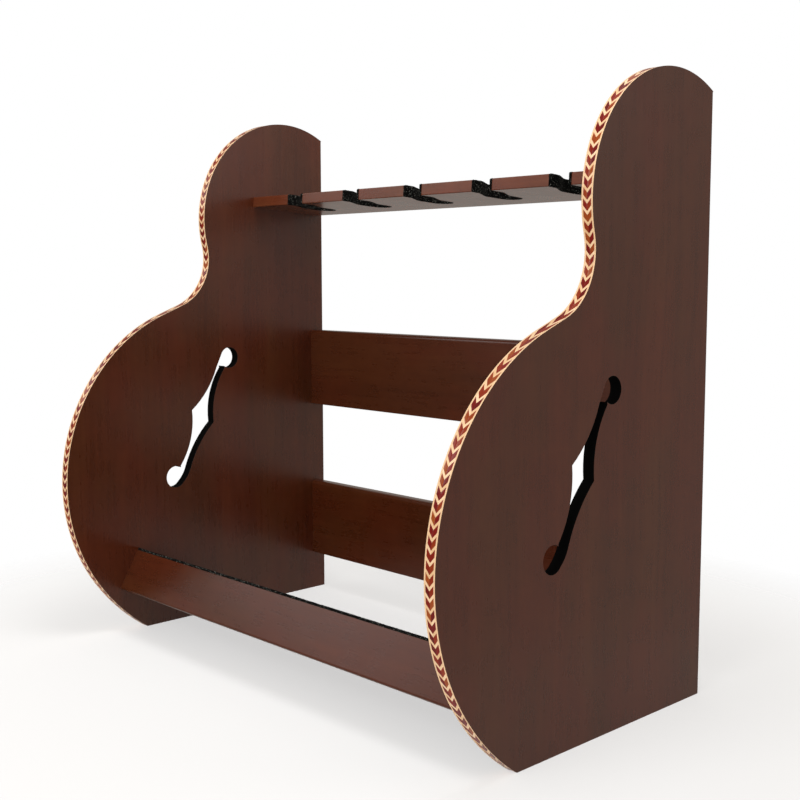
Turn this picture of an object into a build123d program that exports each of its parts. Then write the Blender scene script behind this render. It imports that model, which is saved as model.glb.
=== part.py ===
"""Floor rack for five guitars: two guitar-shaped sides joined by boards and a slotted neck rest.

Millimetres. X runs across the rack, -Y is the front, Z is up. The origin is the centre of the
footprint on the floor. Positions on a side are given as (distance ahead of the rear edge, height).
"""

import os
from math import acos, asin, atan2, cos, degrees, hypot, radians, sin, sqrt

from build123d import *

# ---- boards and overall size ----
board = 19.0
overall_width = 930.0
inside_half = overall_width / 2 - board
rear_inset = 12.0  # the rear rails stop this far ahead of the rear edge

# ---- side profile: circles of a guitar body, in (ahead, height) ----
upper_c, upper_r = (95.0, 757.0), 193.0  # upper bout, gives the overall height
lower_c, lower_r = (264.0, 281.0), 322.5  # lower bout, gives the overall depth
base_r, base_join = 396.0, -35.4  # flatter arc down to the floor, and the angle where it starts
waist_r, shoulder_slope = 96.0, 21.4  # hollow of the waist, slope of the straight shoulder
depth = lower_c[0] + lower_r
rear = depth / 2

# ---- edge inlay ----
band_t = 0.6  # thickness of the veneer strips glued on the curved front edge
line_w = 2.6  # width of each pale line beside the chevrons
floor_gap = 1.0  # the strips end this far above the floor

# ---- f-hole, relative to its middle ----
hole_c = (299.5, 385.0)
eyes = [(-63.5, 109.5, 20.0), (63.2, -110.2, 20.5)]  # centre and radius
stem_front = [(-47.0, 121.0), (-33.0, 92.0), (-13.0, 53.0), (24.5, 13.5), (26.5, -33.0), (52.0, -90.0)]
stem_rear = [(-52.0, 90.0), (-26.5, 33.0), (-24.5, -13.5), (11.0, -57.0), (29.0, -94.0)]
stem_foot = [(35.0, -108.0), (50.0, -125.2)]  # the rear side runs on smoothly into the lower eye

# ---- neck rest and its hooked slots ----
rest_depth = 165.0
rest_tilt = 4.0
rest_ahead, rest_z = 173.0, 786.0  # lower front edge
slot_count, slot_pitch = 5, 158.0
slot_r = 21.5  # half the width of a slot, and the radius of its round end
slot_path = [(0.0, -40.0), (0.0, 24.0), (-20.5, 60.0), (-20.5, 91.0)]  # centre line, (across, back)
pad_t = 5.0

# ---- base: apron and shelf at right angles, tipped back together ----
base_tilt = 30.0
apron_ahead, apron_z = 449.3, 148.3  # upper front edge
apron_h = 76.0
shelf_depth = 165.0
carpet_t = 5.0

# ---- rear rails ----
rail_h = 152.0
back_rail_z = 389.0
lower_rail_z = 76.0

# ---- eased edges ----
round_over = 7.0
apron_round = 3.0
ease = 1.2

# ---- hidden fittings ----
dowel_r, dowel_in_panel, dowel_in_board = 4.0, 10.0, 20.0
thread_r, thread_in_panel = 2.5, 11.0
bolt_r = 3.5
cam_r, cam_h, cam_from_end = 7.5, 12.5, 34.0
cross_l, cross_w, cross_d = 8.0, 2.0, 2.5
apron_dowels_x = [-390.0, -130.0, 130.0, 390.0]


def at(ahead, height):
    """Sketch point on a side: the profile position turned into (Y, Z)."""
    return (rear - ahead, height)


def on_circle(centre, radius, angle):
    """Point of a profile circle, its angle measured upwards from straight ahead."""
    return (centre[0] + radius * cos(radians(angle)), centre[1] + radius * sin(radians(angle)))


# The shoulder line touches the lower bout and the waist circle, which touches the upper bout.
across = (sin(radians(shoulder_slope)), cos(radians(shoulder_slope)))
along = (cos(radians(shoulder_slope)), -sin(radians(shoulder_slope)))
reach = [lower_c[i] + (lower_r + waist_r) * across[i] for i in (0, 1)]
gap = [reach[i] - upper_c[i] for i in (0, 1)]
run = gap[0] * along[0] + gap[1] * along[1]
shoulder = run - sqrt(run**2 - hypot(*gap) ** 2 + (upper_r + waist_r) ** 2)
waist_c = [reach[i] - shoulder * along[i] for i in (0, 1)]
waist_end = -degrees(asin((upper_c[1] - waist_c[1]) / (upper_r + waist_r)))
base_c = on_circle(lower_c, lower_r - base_r, base_join)


def side_outline(inset=0.0, mode=Mode.ADD):
    """Face of a side, with its curved front edge set back by `inset`."""
    arcs = [
        (base_c, base_r - inset, -degrees(asin(base_c[1] / (base_r - inset))), base_join),
        (lower_c, lower_r - inset, base_join, 90 - shoulder_slope),
        (waist_c, waist_r + inset, 270 - shoulder_slope, 180 + waist_end),
        (upper_c, upper_r - inset, waist_end, 180 - degrees(acos(upper_c[0] / (upper_r - inset)))),
    ]
    ends = [[at(*on_circle(c, r, a)) for a in (first, last)] for c, r, first, last in arcs]
    with BuildLine() as edge:
        for (c, r, first, last), (start, stop) in zip(arcs, ends):
            ThreePointArc(start, at(*on_circle(c, r, (first + last) / 2)), stop)
        Line(ends[1][1], ends[2][0])
        Polyline(ends[3][1], at(0, 0), ends[0][0])
    make_face(edge.edges(), mode=mode)


def edge_strip(plane, width):
    """Strip glued along the curved front edge, clear of the floor."""
    with BuildSketch(plane) as section:
        side_outline()
        side_outline(band_t, mode=Mode.SUBTRACT)
        with Locations(at(depth / 2, 0)):
            Rectangle(depth, 2 * floor_gap, mode=Mode.SUBTRACT)
    extrude(section.sketch, amount=width)


def f_hole():
    """The f-hole: two round eyes and a stem with a nick on each side."""
    front, rear_side, foot = [
        [at(hole_c[0] + a, hole_c[1] + h) for a, h in side] for side in (stem_front, stem_rear, stem_foot)
    ]
    with BuildLine() as edge:
        Line(front[0], front[1])
        ThreePointArc(*front[1:4])
        ThreePointArc(*front[3:6])
        Line(front[5], foot[1])
        ThreePointArc(foot[1], foot[0], rear_side[4])
        ThreePointArc(*rear_side[2:5])
        ThreePointArc(*rear_side[0:3])
        Line(rear_side[0], front[0])
    make_face(edge.edges())
    for a, h, radius in eyes:
        with Locations(at(hole_c[0] + a, hole_c[1] + h)):
            Circle(radius)


def tilted(ahead, height, angle):
    """Plane of a board that slopes down to the rear: its Y runs back, its Z is the upper face."""
    a = radians(angle)
    return Plane(origin=(0, rear - ahead, height), x_dir=(1, 0, 0), z_dir=(0, sin(a), cos(a)))


def upright(height):
    """Plane of a rear rail: its Y runs up, its Z points to the front from the rear face."""
    return Plane(origin=(0, rear - rear_inset, height), x_dir=(1, 0, 0), z_dir=(0, -1, 0))


rest_plane = tilted(rest_ahead, rest_z, rest_tilt)
base_plane = tilted(apron_ahead, apron_z, base_tilt)
back_plane, lower_plane = upright(back_rail_z), upright(lower_rail_z)
mid = board / 2

# Each board: its plane, the (Y, Z) of its bolts and of its dowel there, and the way its cam holes open.
fixings = {
    "neck_rest": (rest_plane, [(35, mid), (130, mid)], (rest_depth / 2, mid), rest_plane.z_dir),
    "base_shelf": (base_plane, [(54, -mid), (149, -mid)], (101.5, -mid), -base_plane.z_dir),
    "front_apron": (base_plane, [(mid, -54)], (mid, -32), base_plane.y_dir),
    "back_rail": (back_plane, [(30, mid), (122, mid)], (rail_h / 2, mid), -back_plane.z_dir),
    "lower_rail": (lower_plane, [(30, mid), (122, mid)], (rail_h / 2, mid), -lower_plane.z_dir),
}


def joint_planes(name, kind, ends=(-1, 1)):
    """Planes at the inner faces of the sides: X runs into the board, Z out of the cam hole."""
    plane, bolts, dowel, opening = fixings[name]
    spots = bolts if kind == "bolt" else [dowel]
    return [
        Plane(plane.from_local_coords((end * inside_half, y, z)), x_dir=(-end, 0, 0), z_dir=opening)
        for end in ends
        for y, z in spots
    ]


def rod(radius, into_panel, into_board, mode=Mode.ADD):
    """Round pin or bore along the local X, from inside the side into the board."""
    with Locations((-into_panel, 0, 0)):
        Cylinder(
            radius,
            into_panel + into_board,
            rotation=(0, 90, 0),
            align=(Align.CENTER, Align.CENTER, Align.MIN),
            mode=mode,
        )


def cam_body(mode=Mode.ADD):
    """Cam lock cylinder, or its hole: flush with the board's face, across the bolt."""
    with Locations((cam_from_end, 0, mid - cam_h)):
        Cylinder(cam_r, cam_h, align=(Align.CENTER, Align.CENTER, Align.MIN), mode=mode)


def bore_board(name):
    """Cuts the bolt, cam and dowel holes at both ends of a board."""
    for plane in joint_planes(name, "bolt"):
        with Locations(plane):
            rod(bolt_r, 0, cam_from_end, mode=Mode.SUBTRACT)
            cam_body(mode=Mode.SUBTRACT)
    for plane in joint_planes(name, "dowel"):
        with Locations(plane):
            rod(dowel_r, 0, dowel_in_board, mode=Mode.SUBTRACT)


def bore_side(end):
    """Cuts the dowel and thread holes in the inner face of a side."""
    for name in fixings:
        for plane in joint_planes(name, "bolt", (end,)):
            with Locations(plane):
                rod(thread_r, thread_in_panel, 0, mode=Mode.SUBTRACT)
        for plane in joint_planes(name, "dowel", (end,)):
            with Locations(plane):
                rod(dowel_r, dowel_in_panel, 0, mode=Mode.SUBTRACT)


def slot_legs(x, radius, mode=Mode.ADD):
    """One hooked slot: a round-ended leg along each stretch of its centre line."""
    for (xa, ya), (xb, yb) in zip(slot_path, slot_path[1:]):
        with Locations((x + (xa + xb) / 2, (ya + yb) / 2)):
            SlotCenterToCenter(
                hypot(xb - xa, yb - ya), 2 * radius, rotation=degrees(atan2(yb - ya, xb - xa)), mode=mode
            )


slot_xs = [(i - (slot_count - 1) / 2) * slot_pitch for i in range(slot_count)]
nodes = {}

# ---- the two sides, with their glued edge strips ----
for side_name, end, x_outer, x_inner in (
    ("left", -1, -overall_width / 2, -inside_half),
    ("right", 1, inside_half, overall_width / 2),
):
    face_plane = Plane.YZ.offset(x_outer)
    with BuildPart() as side_panel:
        with BuildSketch(face_plane):
            side_outline(band_t)
        extrude(amount=board)
        with BuildSketch(face_plane):
            f_hole()
        extrude(amount=board, mode=Mode.SUBTRACT)
        fillet(side_panel.edges().filter_by(Axis.Z).group_by(Axis.Y)[-1], ease)
        bore_side(end)
    nodes[side_name + "_side_panel"] = side_panel.part

    with BuildPart() as chevron_band:
        edge_strip(face_plane.offset(line_w), board - 2 * line_w)
    nodes[side_name + "_chevron_band"] = chevron_band.part

    with BuildPart() as binding_lines:
        for start in (0, board - line_w):
            edge_strip(face_plane.offset(start), line_w)
    nodes[side_name + "_binding_lines"] = binding_lines.part

# ---- neck rest: eased board, then the five slots ----
with BuildPart() as neck_rest:
    with BuildSketch(rest_plane):
        Rectangle(2 * inside_half, rest_depth, align=(Align.CENTER, Align.MIN))
    extrude(amount=board)
    fillet(neck_rest.edges().filter_by(Axis.X), ease)
    with BuildSketch(rest_plane):
        for x in slot_xs:
            slot_legs(x, slot_r)
    extrude(amount=board, mode=Mode.SUBTRACT)
    bore_board("neck_rest")
nodes["neck_rest"] = neck_rest.part

for number, x in enumerate(slot_xs, start=1):
    with BuildPart() as neck_pad:
        with BuildSketch(rest_plane):
            slot_legs(x, slot_r)
            slot_legs(x, slot_r - pad_t, mode=Mode.SUBTRACT)
            with Locations((x, ease)):
                Rectangle(
                    slot_pitch, rest_depth, align=(Align.CENTER, Align.MIN), mode=Mode.INTERSECT
                )
        extrude(amount=board)
    nodes[f"neck_pad_{number}"] = neck_pad.part

# ---- base: apron, shelf and carpet ----
with BuildPart() as front_apron:
    with BuildSketch(base_plane):
        Rectangle(2 * inside_half, board, align=(Align.CENTER, Align.MIN))
    extrude(amount=-apron_h)
    fillet(front_apron.edges().filter_by(Axis.X).group_by(Axis.Z)[0], apron_round)
    fillet(front_apron.edges().filter_by(Axis.X).group_by(Axis.Y)[0], apron_round)
    bore_board("front_apron")
    for x in apron_dowels_x:
        with Locations(base_plane.offset(-mid) * Location((x, board, 0))):
            Cylinder(
                dowel_r, dowel_in_panel, rotation=(90, 0, 0),
                align=(Align.CENTER, Align.CENTER, Align.MIN), mode=Mode.SUBTRACT,
            )
nodes["front_apron"] = front_apron.part

with BuildPart() as base_shelf:
    with BuildSketch(base_plane):
        with Locations((0, board)):
            Rectangle(2 * inside_half, shelf_depth, align=(Align.CENTER, Align.MIN))
    extrude(amount=-board)
    fillet(base_shelf.edges().filter_by(Axis.X).group_by(Axis.Y)[-1], ease)
    bore_board("base_shelf")
    for x in apron_dowels_x:
        with Locations(base_plane.offset(-mid) * Location((x, board, 0))):
            Cylinder(
                dowel_r, dowel_in_board, rotation=(-90, 0, 0),
                align=(Align.CENTER, Align.CENTER, Align.MIN), mode=Mode.SUBTRACT,
            )
nodes["base_shelf"] = base_shelf.part

with BuildPart() as shelf_carpet:
    with BuildSketch(base_plane):
        Rectangle(2 * inside_half, board + shelf_depth, align=(Align.CENTER, Align.MIN))
    extrude(amount=carpet_t)
    fillet(shelf_carpet.edges().filter_by(Axis.X).group_by(Axis.Z)[-1], ease)
nodes["shelf_carpet"] = shelf_carpet.part

# ---- rear rails, with a rounded upper front edge ----
for rail_name, rail_plane in (("back_rail", back_plane), ("lower_rail", lower_plane)):
    with BuildPart() as rail:
        with BuildSketch(rail_plane):
            Rectangle(2 * inside_half, rail_h, align=(Align.CENTER, Align.MIN))
        extrude(amount=board)
        long_edges = rail.edges().filter_by(Axis.X)
        crest = long_edges.group_by(Axis.Z)[-1]
        fillet(crest.sort_by(Axis.Y)[0], round_over)
        fillet(rail.edges().filter_by(Axis.X).group_by(Axis.Z)[0], ease)
        bore_board(rail_name)
    nodes[rail_name] = rail.part

# ---- hidden fittings ----
with BuildPart() as cam_bolts:
    for name in fixings:
        for plane in joint_planes(name, "bolt"):
            with Locations(plane):
                rod(thread_r, thread_in_panel, 0)
                rod(bolt_r, 0, cam_from_end)
nodes["cam_bolts"] = cam_bolts.part

with BuildPart() as cam_nuts:
    for name in fixings:
        for plane in joint_planes(name, "bolt"):
            with Locations(plane):
                cam_body()
                rod(bolt_r, 0, cam_from_end, mode=Mode.SUBTRACT)
                with Locations((cam_from_end, 0, mid)):
                    for turn in (0, 90):
                        Box(
                            cross_l, cross_w, cross_d, rotation=(0, 0, turn),
                            align=(Align.CENTER, Align.CENTER, Align.MAX), mode=Mode.SUBTRACT,
                        )
nodes["cam_nuts"] = cam_nuts.part

with BuildPart() as wood_dowels:
    for name in fixings:
        for plane in joint_planes(name, "dowel"):
            with Locations(plane):
                rod(dowel_r, dowel_in_panel, dowel_in_board)
nodes["wood_dowels"] = wood_dowels.part

with BuildPart() as apron_dowels:
    for x in apron_dowels_x:
        with Locations(base_plane.offset(-mid) * Location((x, board - dowel_in_panel, 0))):
            Cylinder(
                dowel_r, dowel_in_panel + dowel_in_board, rotation=(-90, 0, 0),
                align=(Align.CENTER, Align.CENTER, Align.MIN),
            )
nodes["apron_dowels"] = apron_dowels.part

os.makedirs("parts", exist_ok=True)
for name, shape in nodes.items():
    shape.label = name
    export_step(shape, f"parts/{name}.step")
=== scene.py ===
from math import acos, asin, cos, degrees, pi, radians, sin

import bmesh
import bpy
import numpy as np
from mathutils import Matrix, Vector


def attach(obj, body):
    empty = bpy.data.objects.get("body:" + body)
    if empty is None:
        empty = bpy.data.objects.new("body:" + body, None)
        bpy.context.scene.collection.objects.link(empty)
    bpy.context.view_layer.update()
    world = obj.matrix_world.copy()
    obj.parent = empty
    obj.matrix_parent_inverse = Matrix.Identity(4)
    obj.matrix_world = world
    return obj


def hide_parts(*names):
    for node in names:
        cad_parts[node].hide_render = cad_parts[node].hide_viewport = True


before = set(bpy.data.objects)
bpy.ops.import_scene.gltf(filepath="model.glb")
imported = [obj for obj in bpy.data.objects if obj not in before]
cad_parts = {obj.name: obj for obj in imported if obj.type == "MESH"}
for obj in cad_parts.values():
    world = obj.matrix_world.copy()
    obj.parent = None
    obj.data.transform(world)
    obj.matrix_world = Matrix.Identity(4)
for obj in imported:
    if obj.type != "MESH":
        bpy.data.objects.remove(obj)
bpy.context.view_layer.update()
MM = 0.001

# ---- sizes shared with the CAD source; places on a side are (ahead of the rear edge, height) ----
board = 19 * MM
inside_half = 446 * MM
depth = 586.5 * MM
rear = depth / 2
band_t, line_w, floor_gap = 0.6 * MM, 2.6 * MM, 1.0 * MM
upper_c, upper_r = (95 * MM, 757 * MM), 193 * MM
lower_c, lower_r = (264 * MM, 281 * MM), 322.5 * MM
base_r, base_join = 396 * MM, -35.4
waist_r, shoulder_slope = 96 * MM, 21.4
hole_c, hole_reach = (299.5 * MM, 385 * MM), (110 * MM, 140 * MM)  # half the box round the f-hole

slot_count, slot_pitch, slot_r, pad_t = 5, 158 * MM, 21.5 * MM, 5 * MM
slot_path = [(0.0, 0.0), (0.0, 24 * MM), (-20.5 * MM, 60 * MM), (-20.5 * MM, 91 * MM)]
rest_tilt, rest_front = 4.0, (173 * MM, 786 * MM)  # lower front edge

base_tilt, base_front = 30.0, (449.3 * MM, 148.3 * MM)  # upper front edge of the apron
carpet_deep, carpet_t = 184 * MM, 5 * MM


# ---------------------------------------------------------------- meshes
def make_object(name, vertices, faces, *materials):
    """A mesh object from points and faces, given in the row frame."""
    mesh = bpy.data.meshes.new(name)
    mesh.from_pydata(np.asarray(vertices).tolist(), [], faces)
    for material in materials:
        mesh.materials.append(material)
    mesh.update()
    made = bpy.data.objects.new(name, mesh)
    bpy.context.scene.collection.objects.link(made)
    return made


def add_attribute(piece, name, kind, values):
    """Stores a value at every point of a piece, for its material to read."""
    attribute = piece.data.attributes.new(name, kind, "POINT")
    key = "vector" if kind == "FLOAT_VECTOR" else "value"
    attribute.data.foreach_set(key, np.asarray(values, np.float32).ravel())


def smooth_by_angle(piece, angle=32.0):
    """Smooth shading, with edges sharper than `angle` kept crisp."""
    piece.data.shade_smooth()
    piece.data.set_sharp_from_angle(angle=radians(angle))


def grid_faces(rows, columns, closed=False):
    """Quads of a grid of points stored row by row; `closed` joins the last column to the first."""
    last = columns if closed else columns - 1
    return [
        (
            r * columns + c,
            r * columns + (c + 1) % columns,
            (r + 1) * columns + (c + 1) % columns,
            (r + 1) * columns + c,
        )
        for r in range(rows - 1)
        for c in range(last)
    ]


def tube_faces(rows, columns):
    """Faces of a closed tube of `rows` loops, with a cap at each end."""
    caps = [tuple(reversed(range(columns))), tuple(range((rows - 1) * columns, rows * columns))]
    return grid_faces(rows, columns, closed=True) + caps


def trim(bm, point, outward):
    """Cuts away what lies beyond a plane, and closes the cut solids."""
    everything = bm.verts[:] + bm.edges[:] + bm.faces[:]
    cut = bmesh.ops.bisect_plane(
        bm, geom=everything, dist=1e-7, plane_co=point, plane_no=outward, clear_outer=True
    )
    rims = [e for e in cut["geom_cut"] if isinstance(e, bmesh.types.BMEdge)]
    filled = bmesh.ops.holes_fill(bm, edges=rims, sides=0)
    for face in filled["faces"]:
        beside = [f for f in face.edges[0].link_faces if f != face]
        face.material_index = beside[0].material_index


def tufts(a, b, pitch, seed):
    """Height of looped pile, from 0 between tufts to 1 on their tips, for arrays of places."""
    rows, columns = int(np.ptp(b) / pitch) + 3, int(np.ptp(a) / pitch) + 3
    spots = np.random.default_rng(seed).random((rows, columns, 2))
    a, b = (a - a.min()) / pitch, (b - b.min()) / pitch
    nearest = np.full(a.shape, np.inf)
    for i in (-1, 0, 1):
        for j in (-1, 0, 1):
            row, column = np.floor(b).astype(int) + i, np.floor(a).astype(int) + j
            spot = spots[row % rows, column % columns]
            nearest = np.minimum(nearest, np.hypot(column + spot[..., 0] - a, row + spot[..., 1] - b))
    return np.clip(1 - nearest, 0, 1) ** 0.7


def run_along(points):
    """Distance from the first point of a line to each of its points."""
    return np.r_[0, np.cumsum(np.linalg.norm(np.diff(points, axis=0), axis=1))]


def points_at(distances, run, points):
    """Points of a flat line at some distances along it; `run` is the distance of its own points."""
    return np.stack([np.interp(distances, run, points[:, k]) for k in (0, 1)], 1)


def on_board(front, tilt, across, back, up):
    """Points of a board that slopes down to the rear, from its upper or lower front edge."""
    turn = radians(tilt)
    y = rear - front[0] + back * cos(turn) + up * sin(turn)
    z = front[1] - back * sin(turn) + up * cos(turn)
    return np.stack(np.broadcast_arrays(across, y, z), -1)


# ---------------------------------------------------------------- outline of a side
def trace_outline():
    """Finely spaced points of the curved front edge, from below the floor to past the rear edge.

    Returns the distance along the edge, counted from the floor, with the (Y, Z) points and outward
    normals there.
    """
    overrun, samples = 24 * MM, 600
    angle = radians(shoulder_slope)
    across, along = np.array([sin(angle), cos(angle)]), np.array([cos(angle), -sin(angle)])
    reach = np.array(lower_c) + (lower_r + waist_r) * across
    gap = reach - np.array(upper_c)
    run = gap @ along
    shoulder = run - (run**2 - gap @ gap + (upper_r + waist_r) ** 2) ** 0.5
    waist_c = reach - shoulder * along
    waist_end = -degrees(asin((upper_c[1] - waist_c[1]) / (upper_r + waist_r)))
    turn = radians(base_join)
    base_c = np.array(lower_c) + (lower_r - base_r) * np.array([cos(turn), sin(turn)])
    floor_angle = -degrees(asin(base_c[1] / base_r))
    rear_angle = 180 - degrees(acos(upper_c[0] / upper_r))
    arcs = [
        (base_c, base_r, floor_angle - degrees(overrun / base_r), base_join, 1),
        (lower_c, lower_r, base_join, 90 - shoulder_slope, 1),
        (waist_c, waist_r, 270 - shoulder_slope, 180 + waist_end, -1),
        (upper_c, upper_r, waist_end, rear_angle + degrees(overrun / upper_r), 1),
    ]
    points, normals = [], []
    for centre, radius, first, last, side in arcs:
        turns = np.radians(np.linspace(first, last, samples))
        ways = np.stack([np.cos(turns), np.sin(turns)], 1)
        points.append(np.array(centre) + radius * ways)
        normals.append(side * ways)
    points, normals = np.concatenate(points), np.concatenate(normals)
    to_yz = np.array([-1, 1])
    return run_along(points) - overrun, points * to_yz + [rear, 0], normals * to_yz


edge_s, edge_p, edge_n = trace_outline()


def climb(least):
    """Distance counted along the edge that grows with height, and by at least `least` of the way."""
    rise = np.maximum(np.abs(np.diff(edge_p[:, 1])), least * np.diff(edge_s))
    climbed = np.r_[0, np.cumsum(rise)]
    return climbed - np.interp(0, edge_s, climbed)


def edge_point(x, s, inset):
    """Points at `s` along the front edge of a side, `inset` below its surface. Takes arrays."""
    at = [np.interp(s, edge_s, edge_p[:, k]) for k in (0, 1)]
    way = [np.interp(s, edge_s, edge_n[:, k]) for k in (0, 1)]
    size = np.hypot(*way)
    y, z = (a - inset * w / size for a, w in zip(at, way))
    return np.stack(np.broadcast_arrays(x, y, z), -1)


def trim_ends(piece):
    """Cuts edge strips off at the floor gap and at the rear edge."""
    bm = bmesh.new()
    bm.from_mesh(piece.data)
    trim(bm, (0, 0, floor_gap), (0, 0, -1))
    trim(bm, (0, rear, 0), (0, 1, 0))
    bm.to_mesh(piece.data)
    bm.free()


# ---------------------------------------------------------------- materials
class Look:
    """A procedural material, built one node at a time."""

    def __init__(self, name):
        self.material = bpy.data.materials.new(name)
        self.material.use_nodes = True
        self.tree = self.material.node_tree
        self.tree.nodes.clear()

    def add(self, kind, inputs, output=0, **settings):
        """Adds a node, sets or links its inputs, and returns one of its outputs."""
        node = self.tree.nodes.new("ShaderNode" + kind)
        for key, value in settings.items():
            setattr(node, key, value)
        for socket, value in inputs.items():
            if isinstance(value, bpy.types.NodeSocket):
                self.tree.links.new(value, node.inputs[socket])
            else:
                node.inputs[socket].default_value = value
        return node.outputs[output] if node.outputs else None

    def noise(self, vector, scale, detail=3.0, rough=0.5, output="Fac"):
        """Noise with about `scale` features to the metre."""
        inputs = {"Vector": vector, "Scale": scale, "Detail": detail, "Roughness": rough}
        return self.add("TexNoise", inputs, output)

    def maths(self, operation, a, b=0.0, c=0.0, clamp=False):
        """One Math node on sockets or numbers."""
        return self.add("Math", {0: a, 1: b, 2: c}, operation=operation, use_clamp=clamp)

    def spread(self, value, low, high, to_low=0.0, to_high=1.0):
        """Maps low..high smoothly onto to_low..to_high."""
        inputs = {0: value, 1: low, 2: high, 3: to_low, 4: to_high}
        return self.add("MapRange", inputs, interpolation_type="SMOOTHSTEP")

    def weigh(self, level, *parts):
        """`level` plus each value's swing about a half, times its weight."""
        total = level - 0.5 * sum(weight for _, weight in parts)
        for value, weight in parts:
            total = self.maths("MULTIPLY_ADD", value, weight, total)
        return total

    def ramp(self, value, *stops):
        """Colour along (position, colour) stops."""
        colour = self.add("ValToRGB", {"Fac": value})
        elements = colour.node.color_ramp.elements
        while len(elements) < len(stops):
            elements.new(1.0)
        for element, (position, rgb) in zip(elements, stops):
            element.position = position
            element.color = (*rgb, 1)
        return colour

    def blend(self, share, a, b, mode="MIX"):
        """Mixes two colours, each a socket or an RGB triple."""
        a, b = ((*v, 1) if isinstance(v, tuple) else v for v in (a, b))
        return self.add("Mix", {0: share, 6: a, 7: b}, 2, data_type="RGBA", blend_type=mode)

    def place(self, squeeze=(1, 1, 1), start=(0, 0, 0), wander=0.0):
        """Object coordinates, drifting by up to `wander` metres, then stretched."""
        spot = self.add("TexCoord", {}, "Object")
        if wander:
            drift = self.noise(spot, 2.6, 2, output="Color")
            spot = self.add("VectorMath", {0: drift, 1: (wander,) * 3, 2: spot}, operation="MULTIPLY_ADD")
        return self.add("Mapping", {"Vector": spot, "Location": start, "Scale": squeeze})

    def bump(self, height, distance, normal=None):
        """A normal that follows `height`, `distance` metres deep, on top of another normal."""
        inputs = {"Height": height, "Distance": distance, "Strength": 1.0}
        if normal is not None:
            inputs["Normal"] = normal
        return self.add("Bump", inputs)

    def finish(self, **inputs):
        """Ends in one Principled shader; a_b names the input "A B"."""
        named = {key.replace("_", " "): value for key, value in inputs.items()}
        shader = self.add("BsdfPrincipled", named)
        self.add("OutputMaterial", {"Surface": shader})
        return self.material


def stained_wood(name, grain, start, brown, holed=False):
    """Stained, satin-lacquered board with its grain along X or Z.

    `start` shifts the figure, and `holed` paints the walls of the f-hole black.
    """
    paint, pore_stain = (0.0012, 0.0011, 0.0010), (0.016, 0.0055, 0.003)
    # Lighter brown of worn edges, which is also a painted highlight along them.
    worn_and_highlit_wood = (0.16, 0.062, 0.027)
    look = Look(name)
    squeeze = (0.045, 1, 1) if grain == "X" else (1, 1, 0.045)
    long = look.place(squeeze, start, wander=0.03)
    short = look.place(tuple(s ** 0.8 for s in squeeze), start)
    broad = look.place(tuple(s ** 0.25 for s in squeeze), start)
    around = look.place(start=start)
    bands = look.noise(long, 21, 4, 0.55)
    streaks = look.noise(long, 120, 4, 0.6)
    fibres = look.noise(short, 620, 3, 0.6)
    mottle = look.noise(broad, 9, 3)
    cloud = look.noise(around, 26, 3)
    pores = look.spread(look.noise(short, 1250, 2), 0.60, 0.72)

    figure = look.weigh(0.5, (bands, 0.7), (streaks, 0.6), (fibres, 0.5), (cloud, 0.4))
    dark = tuple(c * k for c, k in zip(brown, (0.78, 0.75, 0.72)))
    light = tuple(c * k for c, k in zip(brown, (1.24, 1.38, 1.45)))
    colour = look.ramp(figure, (0.22, dark), (0.50, brown), (0.80, light))
    drift = look.blend(look.spread(mottle, 0.38, 0.62), (1.06, 0.96, 0.84), (0.94, 1.08, 0.92))
    colour = look.blend(1.0, colour, drift, "MULTIPLY")
    colour = look.blend(look.maths("MULTIPLY", pores, 0.22), colour, pore_stain)

    # Eased edges turn lighter and redder in patches: partly edge wear, partly a painted highlight along
    # the edges.
    eased = look.add("Bevel", {"Radius": 0.8 * MM}, samples=4)
    flat = look.add("NewGeometry", {}, "Normal")
    facing = look.add("VectorMath", {0: eased, 1: flat}, "Value", operation="DOT_PRODUCT")
    edge_wear_and_highlight = look.spread(facing, 0.80, 0.985, 1.0, 0.0)
    patchy_wear_and_highlight = look.maths("MULTIPLY", edge_wear_and_highlight, look.spread(cloud, 0.35, 0.6))
    colour = look.blend(look.maths("MULTIPLY", patchy_wear_and_highlight, 0.35), colour, worn_and_highlit_wood)

    shine = 0.5
    if holed:
        painted = hole_walls(look)
        colour = look.blend(painted, colour, paint)
        shine = look.maths("MULTIPLY_ADD", painted, -0.46, 0.5)

    rough = look.weigh(0.31, (streaks, 0.05), (cloud, 0.06), (patchy_wear_and_highlight, 0.06))
    if holed:
        rough = look.maths("MULTIPLY_ADD", painted, 0.6, rough)
    height = look.weigh(0.5, (fibres, 0.5), (streaks, 0.5), (pores, -0.12))
    waves = look.bump(look.noise(around, 11, 1), 0.4 * MM, eased)
    normal = look.bump(height, 0.05 * MM, waves)
    return look.finish(
        Base_Color=colour, Roughness=rough, Normal=normal, IOR=1.5, Specular_IOR_Level=shine
    )


def hole_walls(look):
    """1 on the black-painted walls of the f-hole, 0 elsewhere on a side."""
    spot = look.add("SeparateXYZ", {0: look.add("TexCoord", {}, "Object")}, 1)
    height = spot.node.outputs[2]
    across = look.maths("ABSOLUTE", look.maths("SUBTRACT", spot, rear - hole_c[0]))
    above = look.maths("ABSOLUTE", look.maths("SUBTRACT", height, hole_c[1]))
    beside = look.maths("LESS_THAN", across, hole_reach[0])
    level = look.maths("LESS_THAN", above, hole_reach[1])
    facing = look.add("SeparateXYZ", {0: look.add("NewGeometry", {}, "True Normal")}, 0)
    edgeways = look.maths("LESS_THAN", look.maths("ABSOLUTE", facing), 0.5)
    return look.maths("MULTIPLY", look.maths("MULTIPLY", beside, level), edgeways)


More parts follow.
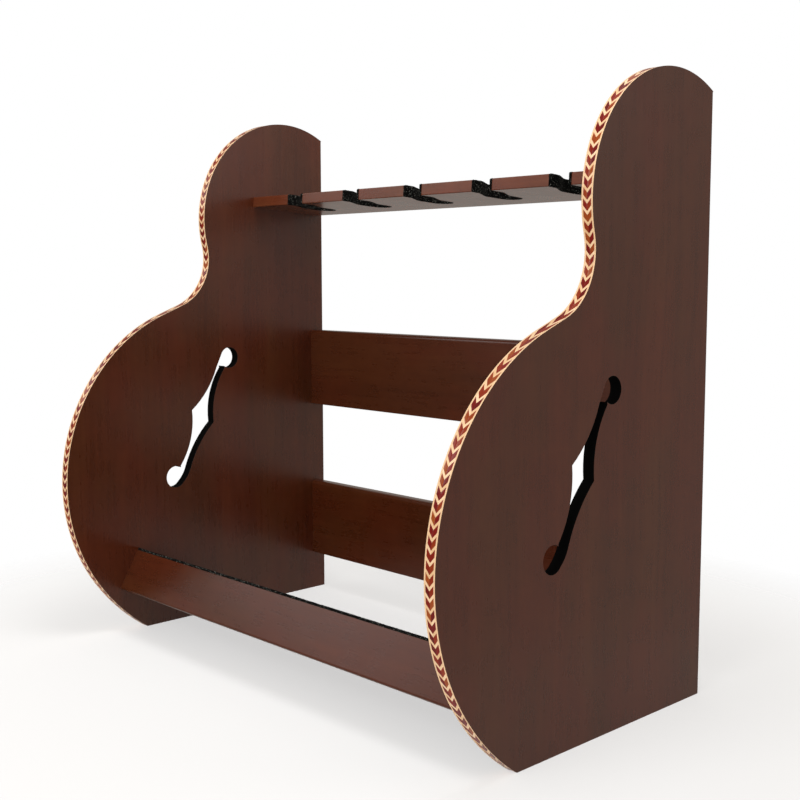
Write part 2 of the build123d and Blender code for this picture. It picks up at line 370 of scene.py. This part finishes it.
def inlay(name, *stops, fleck=0.3):
    """Lacquered marquetry veneer: a colour for each piece from its tone, with fibres along the piece."""
    look = Look(name)
    fibre = look.add("Attribute", {}, "Vector", attribute_name="fibre")
    tone = look.add("Attribute", {}, "Fac", attribute_name="tone")
    along = look.add("Mapping", {"Vector": fibre, "Scale": (0.12, 1, 1)})
    lines = look.noise(along, 1500, 3, 0.6)
    wide = look.noise(along, 420, 2)
    figure = look.weigh(0.5, (tone, 1.0), (lines, fleck), (wide, fleck))
    colour = look.ramp(figure, *stops)
    rough = look.weigh(0.20, (lines, 0.12))
    return look.finish(
        Base_Color=colour, Roughness=rough, Normal=look.bump(lines, 0.03 * MM),
        Specular_IOR_Level=0.3, Coat_Weight=0.12, Coat_Roughness=0.08,
    )


def pile_carpet(name):
    """Black looped pile with sparse grey flecks, and painted shade that darkens it between the tufts."""
    look = Look(name)
    around = look.place()
    pile = look.add("Attribute", {}, "Fac", attribute_name="pile")
    cells = look.add("TexVoronoi", {"Vector": around, "Scale": 900.0}, "Color")
    chance = look.add("SeparateColor", {0: cells}, 0)
    shade = chance.node.outputs[1]
    hairs = look.noise(around, 2600, 2, 0.7)
    # Flecks fade out and the black darkens into the hollows between the tufts: painted shade.
    fleck = look.maths("MULTIPLY", look.spread(chance, 0.87, 0.93), look.spread(pile, 0.3, 0.8))
    grey = look.ramp(
        shade, (0.0, (0.02, 0.03, 0.025)), (0.6, (0.09, 0.10, 0.09)), (1.0, (0.28, 0.27, 0.24))
    )
    black = look.blend(look.spread(pile, 0.0, 0.9), (0.0006, 0.0006, 0.0006), (0.0026, 0.0025, 0.0024))
    fuzzy = look.blend(look.spread(hairs, 0.4, 0.7, 0, 0.6), black, (0.0015, 0.0015, 0.0015))
    colour = look.blend(fleck, fuzzy, grey)
    return look.finish(
        Base_Color=colour, Roughness=0.95, Normal=look.bump(hairs, 0.35 * MM),
        Specular_IOR_Level=0.05, Sheen_Weight=0.01, Sheen_Roughness=0.5,
    )


def plain_metal(name, colour, rough, scale, depth_of_grain):
    """Metal with a fine uneven surface."""
    look = Look(name)
    around = look.place()
    grain = look.noise(around, scale, 4, 0.6)
    stain = look.noise(around, scale / 8, 2)
    dull = tuple(0.6 * c for c in colour)
    shade = look.blend(look.spread(stain, 0.35, 0.7), colour, dull)
    roughness = look.weigh(rough, (grain, 0.3), (stain, 0.15))
    return look.finish(
        Base_Color=shade, Metallic=1.0, Roughness=roughness, Normal=look.bump(grain, depth_of_grain)
    )


def beech():
    """Pale pink-brown dowel wood with short dark flecks along the grain."""
    look = Look("beech_dowel")
    long = look.place((0.1, 1, 1))
    fibres = look.noise(long, 900, 3, 0.6)
    flecks = look.spread(look.noise(long, 500, 1), 0.62, 0.7)
    colour = look.ramp(fibres, (0.3, (0.36, 0.22, 0.12)), (0.7, (0.58, 0.40, 0.25)))
    colour = look.blend(look.maths("MULTIPLY", flecks, 0.6), colour, (0.20, 0.10, 0.05))
    return look.finish(Base_Color=colour, Roughness=0.7, Normal=look.bump(fibres, 0.08 * MM))


# ---------------------------------------------------------------- edge inlay
# The Vs keep their pitch in height, so they lengthen where the edge slopes.
chevron_pitch, dark_share, arm_slope = 14.88 * MM, 0.67, 1.1
tone_low, tone_span = 0.08, 0.84
chevron_half = board / 2 - line_w
groove, groove_w = 0.05 * MM, 0.15 * MM
edge_rise = climb(least=0.36)


def chevron_half_block(x_mid, side, tip, long):
    """One arm of a V as a closed solid, its tip at height `tip`.

    Returns its points, its faces and the place of every point in the veneer's fibres.
    """
    thirds = chevron_half * np.array([1, 2]) / 3
    quarters = long * np.array([1, 2, 3]) / 4
    across = np.array([0, groove_w, *thirds, chevron_half - groove_w, chevron_half])
    along = np.array([0, groove_w, *quarters, long - groove_w, long])
    out, up = np.meshgrid(across, along)
    rim = np.ones_like(out)
    rim[1:-1, 1:-1] = 0
    s = np.interp(tip + arm_slope * out + up, edge_rise, edge_s)
    top = edge_point(x_mid + side * out, s, rim * groove).reshape(-1, 3)
    bottom = edge_point(x_mid + side * out, s, np.full_like(out, band_t)).reshape(-1, 3)
    rows, columns = out.shape
    count = rows * columns
    upper = grid_faces(rows, columns)
    lower = [tuple(count + v for v in reversed(face)) for face in upper]
    ring = list(range(columns)) + [r * columns + columns - 1 for r in range(1, rows)]
    ring += [(rows - 1) * columns + c for c in range(columns - 2, -1, -1)]
    ring += [r * columns for r in range(rows - 2, 0, -1)]
    walls = [(q, p, count + p, count + q) for p, q in zip(ring, ring[1:] + ring[:1])]
    faces = upper + lower + walls
    if side < 0:
        faces = [tuple(reversed(face)) for face in faces]
    slant = (1 + arm_slope**2) ** 0.5
    fibre = np.stack([out * slant, up / slant, np.zeros_like(out)], -1).reshape(-1, 3)
    return np.concatenate([top, bottom]), faces, np.concatenate([fibre, fibre])


def chevron_strip(name, x_mid, seed, dark, pale):
    """Dark and pale Vs, tips down, along a side's curved edge.

    A dark V is centred on the floor, and the strip is then cut off at the floor gap.
    """
    rng = np.random.default_rng(seed)
    points, faces, fibres, tones, slots = [], [], [], [], []
    count = 0
    dark_long = dark_share * chevron_pitch
    first = -dark_long / 2 - chevron_pitch
    for tip in np.arange(first, edge_rise[-1], chevron_pitch):
        for start, long, slot in ((tip, dark_long, 0), (tip + dark_long, chevron_pitch - dark_long, 1)):
            for side in (-1, 1):
                some, their, fibre = chevron_half_block(x_mid, side, start, long)
                points.append(some)
                faces += [tuple(count + v for v in face) for face in their]
                slots += [slot] * len(their)
                fibres.append(fibre + rng.random(3))
                tones.append(np.full(len(some), tone_low + tone_span * rng.random()))
                count += len(some)
    strip = make_object(name, np.concatenate(points), faces, dark, pale)
    strip.data.polygons.foreach_set("material_index", slots)
    add_attribute(strip, "fibre", "FLOAT_VECTOR", np.concatenate(fibres))
    add_attribute(strip, "tone", "FLOAT", np.concatenate(tones))
    trim_ends(strip)
    smooth_by_angle(strip)
    return strip


def line_section(outward):
    """Closed section of an edge line as (across from the chevrons, inset), its outer corner eased.

    A tongue runs on into the side panel, so that no gap shows behind the line.
    """
    corner_r, tuck, root_t = 0.15 * MM, 0.05 * MM, 1.2 * MM
    corner = [radians(t) for t in range(0, 91, 30)]
    round_off = [
        (line_w - corner_r + corner_r * sin(t), corner_r - corner_r * cos(t)) for t in corner
    ]
    tongue = [(line_w, band_t), (line_w - tuck, band_t), (line_w - tuck, root_t)]
    section = [(0, root_t), (0, groove), (groove_w, 0), *round_off, *tongue]
    return section if outward > 0 else section[::-1]


def edge_lines(name, x_mid, pale, stained):
    """The two pale lines beside the chevrons, their outer sides stained with the panel."""
    spacing, ring_step, even_tone = 3 * MM, 0.5 * MM, 0.5
    outer_side = 0.7 * (board - line_w) / 2
    s = np.arange(edge_s[0], edge_s[-1], spacing)
    points, faces, fibres = [], [], []
    count = 0
    for outward in (-1, 1):
        section = line_section(outward)
        rows = [
            edge_point(x_mid + outward * (chevron_half + across), s, inset) for across, inset in section
        ]
        points.append(np.stack(rows, 1).reshape(-1, 3))
        around = np.arange(len(section)) * ring_step
        along, ring = np.meshgrid(s, around, indexing="ij")
        fibres.append(np.stack([along, ring, np.full_like(ring, outward)], -1).reshape(-1, 3))
        faces += [tuple(count + v for v in face) for face in tube_faces(len(s), len(section))]
        count += len(points[-1])
    lines = make_object(name, np.concatenate(points), faces, pale, stained)
    add_attribute(lines, "fibre", "FLOAT_VECTOR", np.concatenate(fibres))
    add_attribute(lines, "tone", "FLOAT", np.full(count, even_tone))
    for face in lines.data.polygons:
        if (face.center.x - x_mid) * face.normal.x > outer_side:
            face.material_index = 1
    trim_ends(lines)
    smooth_by_angle(lines)
    return lines


# ---------------------------------------------------------------- carpet and pads
def round_rectangle(wide, high, corner, spacing):
    """Evenly spaced points round a rectangle from (0, 0) to (wide, high) with round corners.

    Returns the points and their distances along the outline.
    """
    turns = np.radians(np.linspace(180, 270, 7))
    arc = corner * np.stack([np.cos(turns), np.sin(turns)], 1)
    outline = []
    right, top = wide - corner, high - corner
    for k, centre in enumerate([(corner, corner), (right, corner), (right, top), (corner, top)]):
        turn = k * pi / 2
        spin = np.array([[cos(turn), sin(turn)], [-sin(turn), cos(turn)]])
        outline.append(arc @ spin + centre)
    outline = np.concatenate(outline + [outline[0][:1]])
    run = run_along(outline)
    even = np.linspace(0, run[-1], round(run[-1] / spacing), endpoint=False)
    return points_at(even, run, outline), even


def make_carpet(material):
    """The strip of looped carpet glued on the shelf and on the apron's upper edge."""
    spacing, pitch, pile = 1.55 * MM, 3.1 * MM, 1.3 * MM
    corner = 1.6 * MM
    turns = np.radians(np.linspace(180, 90, 5))
    front = [(corner + corner * cos(t), carpet_t - corner + corner * sin(t)) for t in turns]
    back = [(carpet_deep - b, up) for b, up in front[::-1]]
    flat = np.arange(corner + spacing, carpet_deep - corner - spacing / 2, spacing)
    foot, top = 1.2 * MM, [(b, carpet_t) for b in flat]
    profile = np.array(
        [(0, 0), (0, foot), *front, *top, *back, (carpet_deep, foot), (carpet_deep, 0)]
    )
    way = np.gradient(profile, axis=0)
    out = np.stack([-way[:, 1], way[:, 0]], 1) / np.linalg.norm(way, axis=1)[:, None]
    run = run_along(profile)
    wide = 2 * inside_half
    x = np.arange(-inside_half, inside_half + spacing / 2, wide / round(wide / spacing))
    across, along = np.meshgrid(x, run, indexing="ij")
    height = tufts(across, along, pitch, seed=11)
    held = np.ones(len(profile))
    held[[0, -1]] = 0
    dip = pile * (1 - height) * held
    back_at = profile[:, 0] - dip * out[:, 0]
    up_at = profile[:, 1] - dip * out[:, 1]
    points = on_board(base_front, base_tilt, across, back_at, up_at)
    faces = tube_faces(len(x), len(profile))
    carpet = make_object("shelf_carpet_pile", points.reshape(-1, 3), faces, material)
    add_attribute(carpet, "pile", "FLOAT", height)
    carpet.data.shade_smooth()
    return carpet


def wall_route(reach):
    """Line at `reach` from a slot's centre line: back along its left side, round the end, and out."""
    bend_steps, end_steps = 8, 40
    path = [np.array(p) for p in slot_path]
    legs = [(b - a) / np.linalg.norm(b - a) for a, b in zip(path, path[1:])]
    route = []
    for step, (corners, ways) in enumerate(((path, legs), (path[::-1], [-w for w in legs[::-1]]))):
        lefts = [np.array([-w[1], w[0]]) for w in ways]
        route.append(corners[0] + reach * lefts[0])
        for corner, one, two in zip(corners[1:], lefts, lefts[1:]):
            turn = one[0] * two[1] - one[1] * two[0]
            if turn > 0:
                half = (one + two) / np.linalg.norm(one + two)
                route.append(corner + half * reach / (half @ one))
            else:
                swing = np.linspace(0, 1, bend_steps)[:, None]
                fan = one + (two - one) * swing
                route += list(corner + reach * fan / np.linalg.norm(fan, axis=1)[:, None])
        route.append(corners[-1] + reach * lefts[-1])
        if step == 0:
            start = np.arctan2(lefts[-1][1], lefts[-1][0])
            fan = start - np.linspace(0, pi, end_steps)[1:-1]
            route += list(corners[-1] + reach * np.stack([np.cos(fan), np.sin(fan)], 1))
    return np.array(route)


def make_pad(number, x_slot, material):
    """Carpet lining of one neck slot, a little proud of the board above, below and in front."""
    spacing, pitch, pile = 1.15 * MM, 2.8 * MM, 1.3 * MM
    proud, sunk, ahead, corner = 0.7 * MM, 0.35 * MM, 1.0 * MM, 0.9 * MM
    window, blunt = 8, (0.88, 0.97)
    route = wall_route(slot_r - pad_t / 2)
    route[[0, -1], 1] -= ahead
    run = run_along(route)
    count = round(run[-1] / spacing) + 1
    even = np.linspace(0, run[-1], count)
    line = points_at(even, run, route)
    even_out = np.ones(window + 1) / (window + 1)
    inner = [np.convolve(line[:, k], even_out, "valid") for k in (0, 1)]
    line[window // 2 : -(window // 2)] = np.stack(inner, 1)
    way = np.gradient(line, axis=0)
    into = np.stack([way[:, 1], -way[:, 0]], 1) / np.linalg.norm(way, axis=1)[:, None]

    wide, high = pad_t + sunk, board + 2 * proud
    section, around = round_rectangle(wide, high, corner, spacing)
    ring = section - [wide / 2 + sunk / 2, proud]
    centre = np.array([0, board / 2])
    along, about = np.meshgrid(even, around, indexing="ij")
    height = tufts(along, about, pitch, seed=100 + number)
    shrink = np.ones(count)
    shrink[:2] = blunt
    shrink[-2:] = blunt[::-1]
    offset = ring - centre
    outward = offset / np.linalg.norm(offset, axis=1)[:, None]
    place = offset * shrink[:, None, None] - outward * ((1 - height) * pile)[..., None]
    flat = line[:, None, :] + into[:, None, :] * place[..., :1]
    up = board / 2 + place[..., 1]
    points = on_board(rest_front, rest_tilt, x_slot + flat[..., 0], flat[..., 1], up)
    pad = make_object(
        f"neck_pad_{number}_pile", points.reshape(-1, 3), tube_faces(count, len(section)), material
    )
    add_attribute(pad, "pile", "FLOAT", height)
    pad.data.shade_smooth()
    return pad


# ---------------------------------------------------------------- dressing the object
def dress(name, material):
    """Gives a CAD piece its material."""
    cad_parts[name].data.materials.clear()
    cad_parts[name].data.materials.append(material)


# The neck rest's lighter, more orange copy of the walnut stain is painted light, standing in for the
# extra light on its faces.
walnut_stain, painted_lit_rest_stain = (0.062, 0.0122, 0.0030), (0.108, 0.0240, 0.0090)
panel_woods = {}
for number, side in enumerate(("left", "right")):
    start = (0.3 * number, 2.1 + 1.7 * number, 0.4 * number)
    panel_woods[side] = stained_wood(side + "_panel_wood", "Z", start, walnut_stain, holed=True)
    dress(side + "_side_panel", panel_woods[side])
for number, name in enumerate(("neck_rest", "front_apron", "base_shelf", "back_rail", "lower_rail")):
    # The neck rest takes the painted-light copy of the stain.
    brown = painted_lit_rest_stain if name == "neck_rest" else walnut_stain
    start = (0.2 * number, 5.0 + 0.9 * number, 1.3 * number)
    dress(name, stained_wood(name + "_wood", "X", start, brown))

fittings = {
    "cam_nuts": plain_metal("zinc_casting", (0.62, 0.62, 0.60), 0.42, 1400, 0.12 * MM),
    "cam_bolts": plain_metal("turned_steel", (0.56, 0.57, 0.58), 0.28, 900, 0.05 * MM),
    "wood_dowels": beech(),
}
fittings["apron_dowels"] = fittings["wood_dowels"]
for name, material in fittings.items():
    dress(name, material)

dark_veneer = inlay(
    "dark_red_veneer", (0.05, (0.105, 0.002, 0.001)), (0.40, (0.175, 0.004, 0.002)),
    (0.70, (0.230, 0.020, 0.003)), (0.95, (0.310, 0.070, 0.010)),
)
pale_veneer = inlay(
    "maple_veneer", (0.0, (0.68, 0.42, 0.21)), (0.5, (0.78, 0.53, 0.31)),
    (1.0, (0.85, 0.62, 0.40)), fleck=0.5,
)
for number, (side, end) in enumerate((("left", -1), ("right", 1))):
    x_mid = end * (inside_half + board / 2)
    chevrons = chevron_strip(side + "_chevrons", x_mid, 31 + number, dark_veneer, pale_veneer)
    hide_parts(side + "_chevron_band")
    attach(chevrons, "root")
    lines = edge_lines(side + "_edge_lines", x_mid, pale_veneer, panel_woods[side])
    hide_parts(side + "_binding_lines")
    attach(lines, "root")

carpeting = pile_carpet("black_pile_carpet")
carpet = make_carpet(carpeting)
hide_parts("shelf_carpet")
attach(carpet, "root")
for number in range(1, slot_count + 1):
    x_slot = (number - (slot_count + 1) / 2) * slot_pitch
    pad = make_pad(number, x_slot, carpeting)
    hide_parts(f"neck_pad_{number}")
    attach(pad, "root")


# ---------------------------------------------------------------- floor, light and camera
def make_floor():
    """Round pale floor whose rim melts into the white surroundings.

    It is thinner to the camera, and thinner still in reflections, so that it stays near white.
    """
    radius, sides = 1.7, 96
    solid_to, gone_at = 0.7, 1.6
    thin_seen, thin_mirrored = 0.55, 0.85
    bm = bmesh.new()
    bmesh.ops.create_circle(bm, cap_ends=True, segments=sides, radius=radius)
    mesh = bpy.data.meshes.new("floor")
    bm.to_mesh(mesh)
    bm.free()
    look = Look("pale_floor")
    spot = look.add("TexCoord", {}, "Object")
    away = look.add("VectorMath", {0: spot}, "Value", operation="LENGTH")
    seen = look.add("LightPath", {}, "Is Camera Ray")
    mirrored = seen.node.outputs["Is Glossy Ray"]
    thinned = look.maths("MULTIPLY", mirrored, thin_mirrored)
    thinned = look.maths("MULTIPLY_ADD", seen, thin_seen, thinned)
    fade = look.maths("ADD", look.spread(away, solid_to, gone_at), thinned, clamp=True)
    paper = look.add("BsdfDiffuse", {"Color": (0.92, 0.92, 0.92, 1)})
    nothing = look.add("BsdfTransparent", {})
    look.add("OutputMaterial", {"Surface": look.add("MixShader", {0: fade, 1: paper, 2: nothing})})
    mesh.materials.append(look.material)
    floor = bpy.data.objects.new("floor", mesh)
    bpy.context.scene.collection.objects.link(floor)


def soft_box(name, at, aim, wide, high, radiance):
    """A rectangular soft light at `at`, turned towards `aim`."""
    lamp = bpy.data.lights.new(name, "AREA")
    lamp.shape = "RECTANGLE"
    lamp.size, lamp.size_y, lamp.energy = wide, high, radiance * pi * wide * high
    box = bpy.data.objects.new(name, lamp)
    box.location = at
    box.rotation_euler = (Vector(aim) - Vector(at)).to_track_quat("-Z", "Y").to_euler()
    bpy.context.scene.collection.objects.link(box)


def surroundings(front_left, front_right, back_left, back_right):
    """White backdrop for the camera, over a warm studio with its own brightness in each quarter."""
    world = bpy.data.worlds.new("studio")
    world.use_nodes = True
    tree = world.node_tree
    tree.nodes.clear()
    link = tree.links.new
    way = tree.nodes.new("ShaderNodeTexCoord")
    parts = tree.nodes.new("ShaderNodeSeparateXYZ")
    link(way.outputs["Generated"], parts.inputs[0])

    def turn(axis, low, high):
        """From `low` towards -axis to `high` towards +axis."""
        blend = tree.nodes.new("ShaderNodeMapRange")
        blend.inputs["From Min"].default_value = -1.0
        blend.inputs["From Max"].default_value = 1.0
        link(parts.outputs[axis], blend.inputs["Value"])
        for socket, value in (("To Min", low), ("To Max", high)):
            if isinstance(value, float):
                blend.inputs[socket].default_value = value
            else:
                link(value, blend.inputs[socket])
        return blend.outputs[0]

    level = turn("Y", turn("X", front_left, front_right), turn("X", back_left, back_right))
    studio, backdrop = (tree.nodes.new("ShaderNodeBackground") for _ in range(2))
    studio.inputs[0].default_value = (1.0, 0.92, 0.84, 1)
    backdrop.inputs[0].default_value = (1, 1, 1, 1)
    link(level, studio.inputs["Strength"])
    path = tree.nodes.new("ShaderNodeLightPath")
    mix = tree.nodes.new("ShaderNodeMixShader")
    link(path.outputs["Is Camera Ray"], mix.inputs[0])
    link(studio.outputs[0], mix.inputs[1])
    link(backdrop.outputs[0], mix.inputs[2])
    end = tree.nodes.new("ShaderNodeOutputWorld")
    link(mix.outputs[0], end.inputs["Surface"])
    bpy.context.scene.world = world


surroundings(front_left=0.0, front_right=1.25, back_left=0.62, back_right=0.31)
bpy.context.scene.view_settings.view_transform = "Standard"
make_floor()
middle = (0, 0, 0.45)
soft_box("left_box", at=(-2.4, -1.5, 1.9), aim=middle, wide=2.0, high=1.4, radiance=1.6)
soft_box("front_box", at=(0.3, -3.0, 1.5), aim=middle, wide=2.4, high=2.0, radiance=3.0)
soft_box("upper_box", at=(0.30, -0.15, 2.1), aim=(-0.45, 0.05, 0.75), wide=0.8, high=0.8, radiance=7.5)
soft_box("right_box", at=(2.5, 1.3, 1.65), aim=(0, 0, 0.7), wide=1.5, high=1.4, radiance=1.0)

eye, yaw, pitch, roll = (1.4498, -1.2860, 0.6560), 46.4745, 83.913, -0.105
camera = bpy.data.objects.new("camera", bpy.data.cameras.new("camera"))
camera.data.lens, camera.data.sensor_width = 53.33, 36.0
camera.matrix_world = (
    Matrix.Translation(eye)
    @ Matrix.Rotation(radians(yaw), 4, "Z")
    @ Matrix.Rotation(radians(pitch), 4, "X")
    @ Matrix.Rotation(radians(roll), 4, "Z")
)
bpy.context.scene.collection.objects.link(camera)
bpy.context.scene.camera = camera
